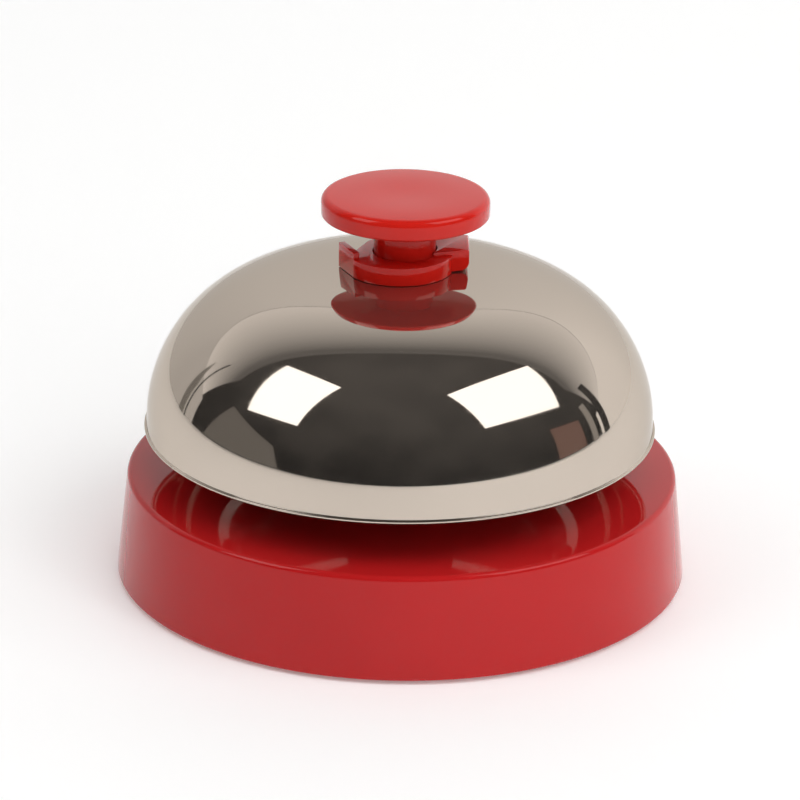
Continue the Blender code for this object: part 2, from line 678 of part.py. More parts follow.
def make_collar():
    """The quarter-turn collar: disc, thick wing, thin ear, and a sleeve whose lugs lock inside the post."""
    bore = HUB_RADIUS + RUNNING_GAP
    top = COLLAR_TOP_Z
    edge = COLLAR_EDGE_RADIUS
    inner = bore - 1.5 * MM  # the bore cuts this away again
    outline = [
        (inner, top),
        *reversed(arc(COLLAR_RADIUS - edge, top - edge, edge, 0, 90)),
        (COLLAR_RADIUS, COLLAR_Z),
        (inner, COLLAR_Z),
    ]
    collar = turned("lock_collar", outline, MIDDLE_STEPS, "red_plastic", PARTS)
    collar.location.x = -DISC_SHIFT
    cut(collar, plate("collar_back", disc_back_outline(), [], COLLAR_Z - MM, top + MM))
    sleeve_outline = [
        (bore - edge, top - edge),
        (SLEEVE_RADIUS, top - edge),
        (SLEEVE_RADIUS, SLEEVE_FOOT_Z),
        (bore - edge, SLEEVE_FOOT_Z),
    ]
    sleeve = turned("collar_sleeve", sleeve_outline, MIDDLE_STEPS)
    slope = (WING_FRONT_OUTER - WING_FRONT_INNER) / (WING_REACH - HUB_RADIUS)
    wing = upright_plate("collar_wing", wing_outline(), WING_FRONT_INNER, WING_BACK + 2 * MM)
    sheared(wing, slope, HUB_RADIUS)
    far_corner = (2 * WING_REACH, 3 * WING_BACK, 2 * COLLAR_TOP_Z)
    wing_end = box("collar_wing_end", (0.0, WING_BACK, COLLAR_Z - MM), far_corner)
    cut(wing, wing_end)
    ear = plate("collar_ear", ear_outline(), [], COLLAR_Z + CLOSE_GAP, top + EAR_HEIGHT)
    lug_low = (-LUG_RADIUS, -LUG_WIDTH / 2, SLEEVE_FOOT_Z)
    lugs = box("collar_lugs", lug_low, (LUG_RADIUS, LUG_WIDTH / 2, SLEEVE_FOOT_Z + LUG_HEIGHT))
    join(collar, sleeve, wing, ear, lugs)
    cut(collar, rod("collar_bore", bore, (0, 0, SLEEVE_FOOT_Z - MM), (0, 0, top + MM), MIDDLE_STEPS))
    return collar


def make_button():
    """The mushroom button and its hub, moulded as one, with a blind hole for the rod."""
    upper, lower = BUTTON_EDGE_RADIUS, BUTTON_LOWER_RADIUS
    seat_top = HUB_FOOT_Z + ROD_SEAT_DEPTH
    seat = ROD_RADIUS + CLOSE_GAP
    outline = [
        (0.0, BUTTON_TOP_Z),
        *reversed(arc(BUTTON_RADIUS - upper, BUTTON_TOP_Z - upper, upper, 0, 90)),
        *reversed(arc(BUTTON_RADIUS - lower, BUTTON_Z + lower, lower, -90, 0, 2)),
        (HUB_RADIUS, BUTTON_Z),
        (HUB_RADIUS, HUB_FOOT_Z),
        (seat, HUB_FOOT_Z),
        (seat, seat_top),
        (0.0, seat_top),
    ]
    return turned("push_button", outline, MIDDLE_STEPS + 8, "red_plastic", PARTS)


def rod_tip_centre_z():
    """Height of the centre of the rod's round nose at rest, just clear of the lever's tail."""
    rise = PIVOT_Y * math.tan(TAIL_REST_ANGLE)
    stand_off = (LEVER_THICKNESS / 2 + ROD_RADIUS) / math.cos(TAIL_REST_ANGLE)
    return PIVOT_Z + rise + stand_off + CLOSE_GAP


def make_plunger_rod():
    """The steel rod: pressed into the hub, grooved for its clip, and round-nosed where it meets the lever."""
    top = HUB_FOOT_Z + ROD_SEAT_DEPTH - CLOSE_GAP
    neck = ROD_RADIUS - CLIP_GROOVE_DEPTH
    groove_top = CLIP_TOP_Z + CLOSE_GAP
    groove_low = CLIP_TOP_Z - CLIP_THICKNESS - CLOSE_GAP
    outline = [
        (0.0, top),
        (ROD_RADIUS, top),
        (ROD_RADIUS, groove_top),
        (neck, groove_top),
        (neck, groove_low),
        (ROD_RADIUS, groove_low),
        *arc(0.0, rod_tip_centre_z(), ROD_RADIUS, 0, -90, 5),
    ]
    outline[-1] = (0.0, rod_tip_centre_z() - ROD_RADIUS)
    return turned("plunger_rod", outline, SMALL_STEPS, "zinc_steel", PARTS)


def make_clip():
    """The snap ring under the guide web, which stops the spring from pushing the button out."""
    bore = ROD_RADIUS - CLIP_GROOVE_DEPTH + CLOSE_GAP
    low = CLIP_TOP_Z - CLIP_THICKNESS
    outline = [(bore, CLIP_TOP_Z), (CLIP_RADIUS, CLIP_TOP_Z), (CLIP_RADIUS, low), (bore, low)]
    clip = turned("rod_clip", outline, SMALL_STEPS, "spring_steel", PARTS)
    half = CLIP_MOUTH / 2
    mouth = box("clip_mouth", (-half, -2 * CLIP_RADIUS, low - MM), (half, 0.0, CLIP_TOP_Z + MM))
    cut(clip, mouth)
    return clip


def make_spring():
    """The return spring, in its chamber between the guide web and the button's hub."""
    low = CHAMBER_FLOOR_Z + SPRING_WIRE_RADIUS + CLOSE_GAP
    high = HUB_FOOT_Z - SPRING_WIRE_RADIUS - CLOSE_GAP
    count = SPRING_TURNS * SPRING_POINTS_PER_TURN
    curve = bpy.data.curves.new("return_spring", "CURVE")
    curve.dimensions = "3D"
    curve.bevel_depth = SPRING_WIRE_RADIUS
    curve.bevel_resolution = 2
    curve.use_fill_caps = True
    spline = curve.splines.new("POLY")
    spline.points.add(count)
    for i, point in enumerate(spline.points):
        angle = 2 * math.pi * i / SPRING_POINTS_PER_TURN
        x, y = SPRING_MEAN_RADIUS * math.cos(angle), SPRING_MEAN_RADIUS * math.sin(angle)
        point.co = (x, y, low + (high - low) * i / count, 1.0)
    return as_mesh(add_object("return_spring", curve, "spring_steel", PARTS))


def turn_about_pivot(angle):
    """Places a shape drawn with the pivot at its origin: X along the arm, Y upwards, Z across the bell."""
    sideways = Matrix(((0, 0, 1, 0), (1, 0, 0, 0), (0, 1, 0, 0), (0, 0, 0, 1)))
    lift = Matrix.Rotation(angle, 4, "X")
    return Matrix.Translation((0.0, PIVOT_Y, PIVOT_Z)) @ lift @ sideways


def lever_outline(reach):
    """Side view of the lever, pivot at (0, 0) and arm along +X, as one closed line."""
    half = LEVER_THICKNESS / 2
    bend = TAIL_REST_ANGLE + ARM_REST_ANGLE
    tail_way = Vector((-math.cos(bend), math.sin(bend)))
    tail_side = Vector((tail_way.y, -tail_way.x)) * half
    tip = tail_way * TAIL_LENGTH
    root = math.degrees(math.asin(half / LEVER_HUB_RADIUS))
    tail_angle = 180 - math.degrees(bend)
    end_x = reach + SHANK_RADIUS
    return [
        (end_x - half, half),
        *arc(0.0, 0.0, LEVER_HUB_RADIUS, root, tail_angle - root, 8),
        tuple(tip + tail_side),
        *arc(tip.x, tip.y, half, tail_angle - 90, tail_angle + 90)[1:-1],
        tuple(tip - tail_side),
        *arc(0.0, 0.0, LEVER_HUB_RADIUS, tail_angle + root, 360 - root, 8),
        (end_x - half, -half),
        *arc(end_x - half, 0.0, half, -90, 90)[1:-1],
    ]


def make_lever(reach):
    """The rocking lever: a steel strip with its hub, a tail under the rod, and an eye for the slug."""
    blank = plate("striker_lever", lever_outline(reach), [], -LEVER_WIDTH / 2, LEVER_WIDTH / 2)
    blank.data.transform(Matrix.Translation(blank.location))
    blank.location = (0.0, 0.0, 0.0)
    CUTTERS.objects.unlink(blank)
    PARTS.objects.link(blank)
    blank.data.materials.append(surface("zinc_steel"))
    place = turn_about_pivot(ARM_REST_ANGLE)
    blank.matrix_world = place
    eye_half = LEVER_THICKNESS / 2 + ARM_EYE_PROUD
    eye = rod("lever_eye", ARM_EYE_RADIUS, (reach, -eye_half, 0), (reach, eye_half, 0))
    eye_hole = rod("lever_eye_hole", SHANK_RADIUS + CLOSE_GAP, (reach, -MM, 0), (reach, MM, 0))
    width = LEVER_WIDTH
    pin_hole = rod("lever_pin_hole", PIN_RADIUS + PIN_GAP, (0, 0, -width), (0, 0, width))
    for helper in (eye, eye_hole, pin_hole):
        helper.matrix_world = place
    join(blank, eye)
    cut(blank, eye_hole, pin_hole)
    return blank


def make_slug(reach):
    """The turned steel slug that strikes the dome, riveted through the lever's eye."""
    half = LEVER_THICKNESS / 2 + ARM_EYE_PROUD
    seat = half + CLOSE_GAP
    drop = math.degrees(math.asin((SLUG_CENTRE_LIFT - seat) / SLUG_RADIUS))
    rivet = -half - CLOSE_GAP
    outline = [
        *arc(0.0, SLUG_CENTRE_LIFT, SLUG_RADIUS, 90, -drop, 8),
        (SHANK_RADIUS, seat),
        (SHANK_RADIUS, rivet),
        (RIVET_RADIUS, rivet),
        (RIVET_RADIUS * 0.8, rivet - RIVET_HEIGHT),
        (0.0, rivet - RIVET_HEIGHT),
    ]
    outline[0] = (0.0, SLUG_CENTRE_LIFT + SLUG_RADIUS)
    slug = turned("striker_slug", outline, SMALL_STEPS, "zinc_steel", PARTS)
    upright = Matrix.Rotation(-math.pi / 2, 4, "X")
    along_arm = Matrix.Translation((reach, 0.0, 0.0))
    slug.matrix_world = turn_about_pivot(ARM_REST_ANGLE) @ along_arm @ upright
    return slug


def make_pivot_pin():
    """The headed steel pin that the lever rocks on, held in the yoke's two cheeks."""
    outer = YOKE_SLOT_WIDTH / 2 + YOKE_CHEEK + CLOSE_GAP
    end = outer + PIN_HEAD_THICKNESS
    outline = [
        (0.0, end),
        (PIN_HEAD_RADIUS, end),
        (PIN_HEAD_RADIUS, outer),
        (PIN_RADIUS, outer),
        (PIN_RADIUS, -end),
        (0.0, -end),
    ]
    pin = turned("pivot_pin", outline, SMALL_STEPS, "zinc_steel", PARTS)
    at_pivot = Matrix.Translation((0.0, PIVOT_Y, PIVOT_Z))
    pin.matrix_world = at_pivot @ Matrix.Rotation(math.pi / 2, 4, "Y")
    return pin


clear_scene()
PARTS = new_collection("service_bell")
CUTTERS = new_collection("cutters")

make_base_shell()
make_base_cover()
make_cover_screws()
make_feet()
make_centre_post()
make_post_screws()
make_washer()
make_dome()
make_collar()
make_button()
make_plunger_rod()
make_clip()
make_spring()
ARM_REACH = arm_reach()
make_lever(ARM_REACH)
make_slug(ARM_REACH)
make_pivot_pin()
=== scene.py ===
import math

import bmesh
import bpy
from mathutils import Matrix, Vector


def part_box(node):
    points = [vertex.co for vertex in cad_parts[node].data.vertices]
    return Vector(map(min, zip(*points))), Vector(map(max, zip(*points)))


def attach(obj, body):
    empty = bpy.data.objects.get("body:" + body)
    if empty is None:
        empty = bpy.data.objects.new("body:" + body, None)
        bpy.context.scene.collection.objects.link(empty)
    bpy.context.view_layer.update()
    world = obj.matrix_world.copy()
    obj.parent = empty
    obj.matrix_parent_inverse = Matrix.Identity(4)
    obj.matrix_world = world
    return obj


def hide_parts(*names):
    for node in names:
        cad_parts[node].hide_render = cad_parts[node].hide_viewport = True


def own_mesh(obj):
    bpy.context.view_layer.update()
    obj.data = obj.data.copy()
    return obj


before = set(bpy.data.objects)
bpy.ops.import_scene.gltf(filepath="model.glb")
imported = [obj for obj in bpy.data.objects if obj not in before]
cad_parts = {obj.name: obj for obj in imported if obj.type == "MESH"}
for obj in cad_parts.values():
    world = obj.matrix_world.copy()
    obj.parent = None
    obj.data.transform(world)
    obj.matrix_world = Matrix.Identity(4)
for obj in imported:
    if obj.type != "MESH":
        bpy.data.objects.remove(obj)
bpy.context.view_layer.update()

# ---------------------------------------------------------------- rubber feet
# Three die-cut pads of black rubber stuck to the cover. The bell stands on them, so their lower
# edges are worn round and slightly greyed by counter dust.


def finish(name, colour, roughness, metallic=0.0):
    """A new material with its shader's plain values set, then its node tree and its shader."""
    material = bpy.data.materials.new(name)
    material.use_nodes = True
    tree = material.node_tree
    shader = tree.nodes["Principled BSDF"]
    shader.inputs["Base Color"].default_value = (*colour, 1.0)
    shader.inputs["Roughness"].default_value = roughness
    shader.inputs["Metallic"].default_value = metallic
    return material, tree, shader


def piece_points(tree, stretch=(1.0, 1.0, 1.0)):
    """The piece's own coordinates in metres, stretched along its axes."""
    place = tree.nodes.new("ShaderNodeTexCoord")
    scaled = tree.nodes.new("ShaderNodeVectorMath")
    scaled.operation = "MULTIPLY"
    scaled.inputs[1].default_value = stretch
    tree.links.new(place.outputs["Object"], scaled.inputs[0])
    return scaled.outputs[0]


def speckle(tree, per_metre, detail=4.0, roughness=0.55, stretch=(1.0, 1.0, 1.0)):
    """Soft noise with about this many features to the metre."""
    noise = tree.nodes.new("ShaderNodeTexNoise")
    noise.inputs["Scale"].default_value = per_metre
    noise.inputs["Detail"].default_value = detail
    noise.inputs["Roughness"].default_value = roughness
    tree.links.new(piece_points(tree, stretch), noise.inputs["Vector"])
    return noise.outputs["Fac"]


def between(tree, pattern, low, high, start=0.35, end=0.65):
    """Turns a pattern's values from start to end into low to high, clamped at both ends."""
    spread = tree.nodes.new("ShaderNodeMapRange")
    spread.inputs["From Min"].default_value = start
    spread.inputs["From Max"].default_value = end
    spread.inputs["To Min"].default_value = low
    spread.inputs["To Max"].default_value = high
    tree.links.new(pattern, spread.inputs["Value"])
    return spread.outputs["Result"]


def tint(tree, shader, pattern, first, second):
    """Colours the surface from one shade to another by a pattern."""
    ramp = tree.nodes.new("ShaderNodeValToRGB")
    for stop, position, colour in zip(ramp.color_ramp.elements, (0.35, 0.65), (first, second)):
        stop.position = position
        stop.color = (*colour, 1.0)
    tree.links.new(pattern, ramp.inputs["Fac"])
    tree.links.new(ramp.outputs["Color"], shader.inputs["Base Color"])


def roughen(tree, shader, pattern, low, high):
    """Varies the surface's roughness from low to high by a pattern."""
    tree.links.new(between(tree, pattern, low, high), shader.inputs["Roughness"])


def added(tree, first, second):
    """The sum of two patterns."""
    total = tree.nodes.new("ShaderNodeMath")
    total.operation = "ADD"
    tree.links.new(first, total.inputs[0])
    tree.links.new(second, total.inputs[1])
    return total.outputs[0]


def relief(tree, shader, height, depth, strength=1.0):
    """Raises and lowers the surface by a pattern, to a depth in metres."""
    bump = tree.nodes.new("ShaderNodeBump")
    bump.inputs["Distance"].default_value = depth
    bump.inputs["Strength"].default_value = strength
    tree.links.new(height, bump.inputs["Height"])
    tree.links.new(bump.outputs["Normal"], shader.inputs["Normal"])


def corner_arc(before, corner, after, radius, steps=5):
    """Points that round one corner of a closed or open (radius, height) line."""
    corner = Vector(corner)
    to_before = (Vector(before) - corner).normalized()
    to_after = (Vector(after) - corner).normalized()
    half = to_before.angle(to_after) / 2
    reach = radius / math.tan(half)
    centre = corner + (to_before + to_after).normalized() * (radius / math.sin(half))
    start = corner + to_before * reach - centre
    end = corner + to_after * reach - centre
    sweep = start.angle_signed(end)
    points = []
    for i in range(steps + 1):
        turn = Matrix.Rotation(-sweep * i / steps, 2)
        points.append(tuple(centre + turn @ start))
    return points


def rounded_line(corners):
    """A line of (radius, height, corner radius) entries with each corner of over zero rounded."""
    points = []
    for i, (r, z, corner_radius) in enumerate(corners):
        if corner_radius > 0 and 0 < i < len(corners) - 1:
            before, after = corners[i - 1][:2], corners[i + 1][:2]
            points += corner_arc(before, (r, z), after, corner_radius)
        else:
            points.append((r, z))
    return points


def turned(name, line, around=128, closed=False):
    """A turned solid from a (radius, height) line down its outer side, or a ring if closed."""
    on_axis = 1e-7
    body = bmesh.new()
    rings = []
    for r, z in line:
        if r < on_axis:
            rings.append([body.verts.new((0.0, 0.0, z))])
            continue
        ring = []
        for k in range(around):
            angle = 2 * math.pi * k / around
            ring.append(body.verts.new((r * math.cos(angle), r * math.sin(angle), z)))
        rings.append(ring)
    pairs = list(zip(rings, rings[1:]))
    if closed:
        pairs.append((rings[-1], rings[0]))
    for upper, lower in pairs:
        for k in range(around):
            after = (k + 1) % around
            above = [upper[k % len(upper)], upper[after % len(upper)]]
            below = [lower[k % len(lower)], lower[after % len(lower)]]
            corners = list(dict.fromkeys([above[0], *below, above[1]]))
            if len(corners) > 2:
                body.faces.new(corners)
    bmesh.ops.recalc_face_normals(body, faces=body.faces)
    mesh = bpy.data.meshes.new(name)
    body.to_mesh(mesh)
    body.free()
    return shown(name, mesh)


def shown(name, mesh, crease=40.0):
    """Puts a mesh in the scene with smooth shading, broken at creases sharper than this angle."""
    mesh.shade_smooth()
    mesh.set_sharp_from_angle(angle=math.radians(crease))
    piece = bpy.data.objects.new(name, mesh)
    bpy.context.scene.collection.objects.link(piece)
    return piece


def settle(piece, material, body, slot, *nodes):
    """Finishes a piece: its material, its body and the nodes it stands for. Its slot is not used.
    """
    piece.data.materials.clear()
    piece.data.materials.append(material)
    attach(piece, body)
    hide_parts(*nodes)


def moulded(name, node, edge):
    """The node's own shape with its facets merged and every outer edge broken by this radius."""
    weld, flat, corner = 0.000002, math.radians(1.0), math.radians(35)
    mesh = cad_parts[node].data.copy()
    mesh.materials.clear()
    body = bmesh.new()
    body.from_mesh(mesh)
    bmesh.ops.remove_doubles(body, verts=body.verts, dist=weld)
    bmesh.ops.dissolve_limit(body, angle_limit=flat, verts=body.verts, edges=body.edges)
    inner = [e for e in body.edges if len(e.link_faces) == 2]
    sharp = [e for e in inner if e.calc_face_angle() > corner]
    bmesh.ops.bevel(
        body, geom=sharp, offset=edge, segments=2, profile=0.5, affect="EDGES", clamp_overlap=True
    )
    body.to_mesh(mesh)
    body.free()
    return shown(name, mesh)


def rubber_material():
    material, tree, shader = finish("die_cut_rubber", (0.020, 0.020, 0.021), 0.8)
    dust = speckle(tree, 900, 6.0)
    tint(tree, shader, dust, (0.014, 0.014, 0.015), (0.045, 0.043, 0.041))
    roughen(tree, shader, speckle(tree, 2600), 0.72, 0.92)
    relief(tree, shader, speckle(tree, 5200, 3.0), 0.00002, 0.7)
    return material


rubber = rubber_material()
cut_edge, worn_edge = 0.00008, 0.00030
for number in (1, 2, 3):
    low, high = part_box(f"foot_pad_{number}")
    pad_radius = (high.x - low.x) / 2
    pad = turned(
        f"rubber_foot_{number}",
        rounded_line(
            [
                (0.0, high.z, 0.0),
                (pad_radius, high.z, cut_edge),
                (pad_radius, low.z, worn_edge),
                (0.0, low.z, 0.0),
            ]
        ),
        around=72,
    )
    pad_middle = ((low.x + high.x) / 2, (low.y + high.y) / 2, 0.0)
    pad.data.transform(Matrix.Translation(pad_middle))
    settle(pad, rubber, "base", "black_rubber", f"foot_pad_{number}")

# ---------------------------------------------------------------- bottom cover
# A flat moulded disc in the same red, let into the drum's rim, with a boss round each screw hole.
# It comes out of a spark-eroded mould, so it has a fine even grain instead of a polish.


def grained_red_material():
    material, tree, shader = finish("grained_red_plastic", (0.52, 0.014, 0.012), 0.42)
    flow = speckle(tree, 60, 3.0)
    tint(tree, shader, flow, (0.48, 0.012, 0.011), (0.56, 0.016, 0.013))
    roughen(tree, shader, speckle(tree, 3000), 0.36, 0.52)
    relief(tree, shader, speckle(tree, 4200, 3.0), 0.000014, 0.7)
    return material


grained_red = grained_red_material()
cover = moulded("moulded_cover", "base_cover", edge=0.00012)
settle(cover, grained_red, "base", "red_inner_plastic", "base_cover")

# ---------------------------------------------------------------- cover screws
# Zinc-plated pan-head screws driven up through the cover into the drum's bosses. The plating is
# slightly cloudy, with bare bright steel where the driver has rubbed the recess.


def zinc_material():
    material, tree, shader = finish("zinc_plate", (0.60, 0.60, 0.62), 0.3, 1.0)
    cloud = speckle(tree, 1400, 5.0)
    tint(tree, shader, cloud, (0.50, 0.51, 0.54), (0.66, 0.65, 0.63))
    roughen(tree, shader, speckle(tree, 3800), 0.22, 0.42)
    relief(tree, shader, speckle(tree, 6000, 2.0), 0.000006, 0.6)
    return material


zinc = zinc_material()
for number in (1, 2, 3):
    screw = moulded(f"pan_screw_{number}", f"cover_screw_{number}", edge=0.00008)
    settle(screw, zinc, "base", "zinc_steel", f"cover_screw_{number}")

# ---------------------------------------------------------------- drum
# The red base: one injection moulding in polished ABS with a flat top, a side that leans in for
# the mould, and a small rounded edge between them. Its gloss shows faint flow and handling marks.


def polished_red_material(name, darker, lighter):
    material, tree, shader = finish(name, darker, 0.10)
    flow = speckle(tree, 38, 3.0)
    tint(tree, shader, flow, darker, lighter)
    haze = speckle(tree, 160, 6.0, 0.7)
    hairlines = speckle(tree, 900, 2.0, 0.5, (1.0, 1.0, 0.08))
    scratched = between(tree, hairlines, 0.0, 0.02, 0.5, 0.75)
    rough = added(tree, between(tree, haze, 0.025, 0.055), scratched)
    tree.links.new(rough, shader.inputs["Roughness"])
    relief(tree, shader, speckle(tree, 420, 1.0), 0.000006, 0.25)
    shader.inputs["IOR"].default_value = 1.37
    return material


drum_red = polished_red_material("drum_red", (0.465, 0.0115, 0.0125), (0.505, 0.0130, 0.0140))
low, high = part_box("base_shell")
drum_lean = 0.0013
drum_foot = (high.x - low.x) / 2
drum_top = drum_foot - drum_lean
drum_wall = 0.0016
deck = 0.0016
top_edge, foot_edge, rim_edge = 0.00060, 0.00035, 0.00025
drum = turned(
    "red_drum",
    rounded_line(
        [
            (0.0, high.z, 0.0),
            (drum_top, high.z, top_edge),
            (drum_foot, low.z, foot_edge),
            (drum_foot - drum_wall, low.z, rim_edge),
            (drum_top - drum_wall, high.z - deck, top_edge),
            (0.0, high.z - deck, 0.0),
        ]
    ),
    around=256,
)
settle(drum, drum_red, "base", "red_plastic", "base_shell")

# ---------------------------------------------------------------- post screws
# The same zinc-plated pan-head screws, a size longer. They are driven up through the drum's deck
# from inside, before the cover goes on, and hold the post down.

for number in (1, 2):
    screw = moulded(f"post_fixing_{number}", f"post_screw_{number}", edge=0.00008)
    settle(screw, zinc, "base", "zinc_steel", f"post_screw_{number}")

# ---------------------------------------------------------------- centre post
# A red moulding that carries the dome and holds the lever in its forked foot. It is as grained as
# the cover, because nobody sees much of it.

post = moulded("forked_post", "centre_post", edge=0.00015)
settle(post, grained_red, "base", "red_inner_plastic", "centre_post")

# ---------------------------------------------------------------- pivot pin
# A headed steel pin, zinc plated, pushed through the post's fork and the lever. The lever rocks
# on it.

pin = moulded("lever_pin", "pivot_pin", edge=0.00010)
settle(pin, zinc, "base", "zinc_steel", "pivot_pin")

# ---------------------------------------------------------------- lever and slug
# The lever is blanked from steel strip. The slug is turned from bar, so it has fine rings round
# it, and its shank is riveted over below the lever's eye.


def turned_steel_material():
    material, tree, shader = finish("turned_steel", (0.56, 0.55, 0.54), 0.25, 1.0)
    rings = speckle(tree, 2400, 2.0, 0.5, (0.04, 0.04, 1.0))
    tint(tree, shader, rings, (0.48, 0.47, 0.46), (0.62, 0.61, 0.60))
    roughen(tree, shader, rings, 0.18, 0.36)
    relief(tree, shader, rings, 0.000008, 0.6)
    return material


turned_steel = turned_steel_material()
lever = moulded("rocking_lever", "striker_lever", edge=0.00012)
settle(lever, zinc, "striker", "zinc_steel", "striker_lever")
slug = moulded("striking_slug", "striker_slug", edge=0.00010)
settle(slug, turned_steel, "striker", "zinc_steel", "striker_slug")

# ---------------------------------------------------------------- dome washer
# A ring punched from soft clear vinyl. It lies between the post's top and the dome and keeps the
# two apart, so that the dome can ring.


def vinyl_material():
    material, tree, shader = finish("clear_vinyl_ring", (0.78, 0.77, 0.70), 0.45)
    cloud = speckle(tree, 700, 4.0)
    tint(tree, shader, cloud, (0.72, 0.70, 0.62), (0.82, 0.81, 0.76))
    roughen(tree, shader, speckle(tree, 2200), 0.38, 0.55)
    relief(tree, shader, speckle(tree, 3000, 2.0), 0.000010, 0.5)
    return material


washer = moulded("vinyl_washer", "dome_washer", edge=0.00012)
settle(washer, vinyl_material(), "base", "clear_vinyl", "dome_washer")

# ---------------------------------------------------------------- dome
# The bell: one round of thin steel, pressed to a full-shouldered dome, nickel plated and buffed to
# a mirror. The buffing wheel leaves the faintest rings. Its rim is trimmed and lightly broken.


def mirror_nickel_material():
    material, tree, shader = finish("mirror_nickel", (0.60, 0.522, 0.450), 0.05, 0.96)
    shader.inputs["Specular Tint"].default_value = (0.76, 0.74, 0.71, 1.0)
    tone = speckle(tree, 26, 3.0)
    tint(tree, shader, tone, (0.585, 0.508, 0.437), (0.615, 0.536, 0.463))
    buff = speckle(tree, 2600, 2.0, 0.5, (0.05, 0.05, 1.0))
    smear = speckle(tree, 90, 5.0, 0.65)
    rough = added(tree, between(tree, smear, 0.018, 0.05), between(tree, buff, 0.0, 0.022))
    tree.links.new(rough, shader.inputs["Roughness"])
    relief(tree, shader, speckle(tree, 70, 1.0), 0.00002, 0.35)
    return material


low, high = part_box("bell_dome")
rim_radius = (high.x - low.x) / 2
rim_z = low.z
sheet = 0.0005
play = 0.0003  # how far the dome hangs to one side of the collar's sleeve
wall_radius = 0.0287
wall_lean = 0.00004
wall_steps = 4
shoulder_z = rim_z + 0.00185
crown_z = rim_z + 0.0188
crown_hole = 0.00515
side_power = 3.43
crown_power = 1.77
wall_foot = (wall_radius + wall_lean, rim_z + 0.00062)
lip_root = (wall_radius + 0.00006, rim_z + 0.00034)
lip_end = (rim_radius - 0.00004, rim_z + 0.00030)
lip_corner = (rim_radius - 0.00004, rim_z + 0.00028)
lip_round, rim_round = 0.00010, 0.00012


def dome_line(points):
    """The dome's outside from the edge of its hole down to the rim."""
    line = []
    for i in range(points + 1):
        angle = (1 - i / points) * math.pi / 2
        r = wall_radius * math.cos(angle) ** (2 / side_power)
        z = shoulder_z + (crown_z - shoulder_z) * math.sin(angle) ** (2 / crown_power)
        if r > crown_hole + sheet:
            line.append((r, z))
    for i in range(1, wall_steps + 1):
        share = i / wall_steps
        above = line[-1][1]
        line.append((wall_radius + wall_lean * share, above + (wall_foot[1] - above) * share))
    line += corner_arc(wall_foot, lip_root, lip_end, lip_round, 4)
    line += corner_arc(lip_root, lip_corner, (rim_radius, rim_z), lip_round, 4)
    line.append((rim_radius, rim_z))
    return [(crown_hole, line[0][1]), *line]


def pushed_in(line, distance):
    """The same line moved square to itself, towards the inside."""
    moved = []
    for i, (r, z) in enumerate(line):
        before, after = line[max(i - 1, 0)], line[min(i + 1, len(line) - 1)]
        along = Vector((after[0] - before[0], after[1] - before[1])).normalized()
        moved.append((r + along.y * distance, z - along.x * distance))
    moved[0] = (line[0][0], line[0][1] - distance)
    moved[-1] = (moved[-1][0], line[-1][1])
    return moved


outside = dome_line(90)
inside = pushed_in(outside, sheet)
rim_out, rim_in = outside[-1], inside[-1]
trimmed_rim = [
    *corner_arc(outside[-2], rim_out, rim_in, rim_round, 4),
    *corner_arc(rim_out, rim_in, inside[-2], rim_round, 4),
]
dome_section = [*outside[:-1], *trimmed_rim, *reversed(inside[:-1])]
dome = turned("pressed_dome", dome_section, around=256, closed=True)
dome.data.transform(Matrix.Translation((-play, 0.0, 0.0)))
settle(dome, mirror_nickel_material(), "base", "nickel_steel", "bell_dome")

# ---------------------------------------------------------------- lock collar
# A small red moulding that turns a quarter to lock the dome down on the post: a disc with one
# thick wing and one thin upright ear for the fingers, and a sleeve with two lugs below.

low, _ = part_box("lock_collar")
overlap = 0.00001  # joined shapes run this far into each other
disc_low, disc_top = 0.03627, 0.0383
disc_radius, disc_shift, disc_back_radius = 0.00605, -0.00065, 0.0052
disc_arc, disc_back_arc = (213.2, 392.0), (42.0, 143.0)
disc_side = (-0.00595, -0.00110)
ear_plan = [(-0.00570, -0.00330), (-0.00506, -0.00298), (-0.00676, 0.00069), (-0.00740, 0.00040)]
ear_top = 0.03908
wing_root, wing_tip, wing_low, wing_top = 0.0032, 0.0072, 0.03636, 0.03875
wing_under_round, wing_top_round = 0.0009, 0.0003
wing_back, wing_front = -0.0044, 0.0016
wing_slant, wing_slant_from = 0.33, 0.0040
sleeve_radius, bore_radius, bore_top = 0.0045, 0.00364, 0.0395
lug_reach, lug_half_width, lug_height = 0.0050, 0.0010, 0.0010
collar_edge = 0.00022


def slab(name, plan, bottom, top):
    """A flat plate standing on its plan outline, which runs counter-clockwise."""
    body = bmesh.new()
    under = [body.verts.new((x, y, bottom)) for x, y in plan]
    over = [body.verts.new((x, y, top)) for x, y in plan]
    body.faces.new(reversed(under))
    body.faces.new(over)
    for i in range(len(plan)):
        after = (i + 1) % len(plan)
        body.faces.new((under[i], under[after], over[after], over[i]))
    bmesh.ops.recalc_face_normals(body, faces=body.faces)
    mesh = bpy.data.meshes.new(name)
    body.to_mesh(mesh)
    body.free()
    return shown(name, mesh)


def round_plan(radius, start, end, steps, shift=0.0):
    """Points on an arc between two angles in degrees."""
    turn = [math.radians(start + (end - start) * i / steps) for i in range(steps + 1)]
    return [(shift + radius * math.cos(t), radius * math.sin(t)) for t in turn]


def full_circle(radius, points):
    return round_plan(radius, 0.0, 360.0 - 360.0 / points, points - 1)


def worked_out(piece):
    """The mesh that a piece's modifiers or curve give."""
    bpy.context.view_layer.update()
    graph = bpy.context.evaluated_depsgraph_get()
    return bpy.data.meshes.new_from_object(piece.evaluated_get(graph))


def combine(piece, operation, *others):
    """Joins other solids to this one, or cuts them from it, and removes them."""
    for other in others:
        step = piece.modifiers.new("combine", "BOOLEAN")
        step.operation = operation
        step.solver = "EXACT"
        step.object = other
        mesh = worked_out(piece)
        piece.modifiers.clear()
        piece.data = mesh
        bpy.data.objects.remove(other)


